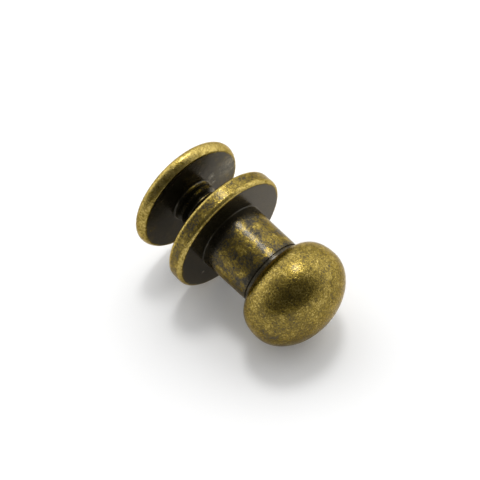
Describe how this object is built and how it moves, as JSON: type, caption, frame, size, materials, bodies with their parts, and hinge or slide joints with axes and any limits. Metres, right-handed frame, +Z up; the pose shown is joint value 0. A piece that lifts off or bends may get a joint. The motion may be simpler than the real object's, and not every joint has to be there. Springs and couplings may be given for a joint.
{
  "type": "chicago screw",
  "caption": "Ball-head stud with a flange and blind threaded bore, and a flat-headed screw that closes on a strap from behind.",
  "frame": {"origin": "centre of the screw head's outer face, on which the pair stands", "axes": "+Z up the common axis of screw and post, towards the ball; +X along the driving slot"},
  "size_m": [0.01, 0.01, 0.015],
  "materials": {
    "antique_brass": "brown-black patina on the flat faces, rubbed back to satin brass on the ball and rims"
  },
  "bodies": {
    "screw": {"screw": "antique_brass"},
    "ball_post": {"ball_post": "antique_brass"}
  },
  "joints": [
    {"name": "thread_travel", "type": "slide", "parent": "screw", "child": "ball_post", "axis": [0, 0, 1], "range_m": [-0.003, 0.0042]}
  ]
}
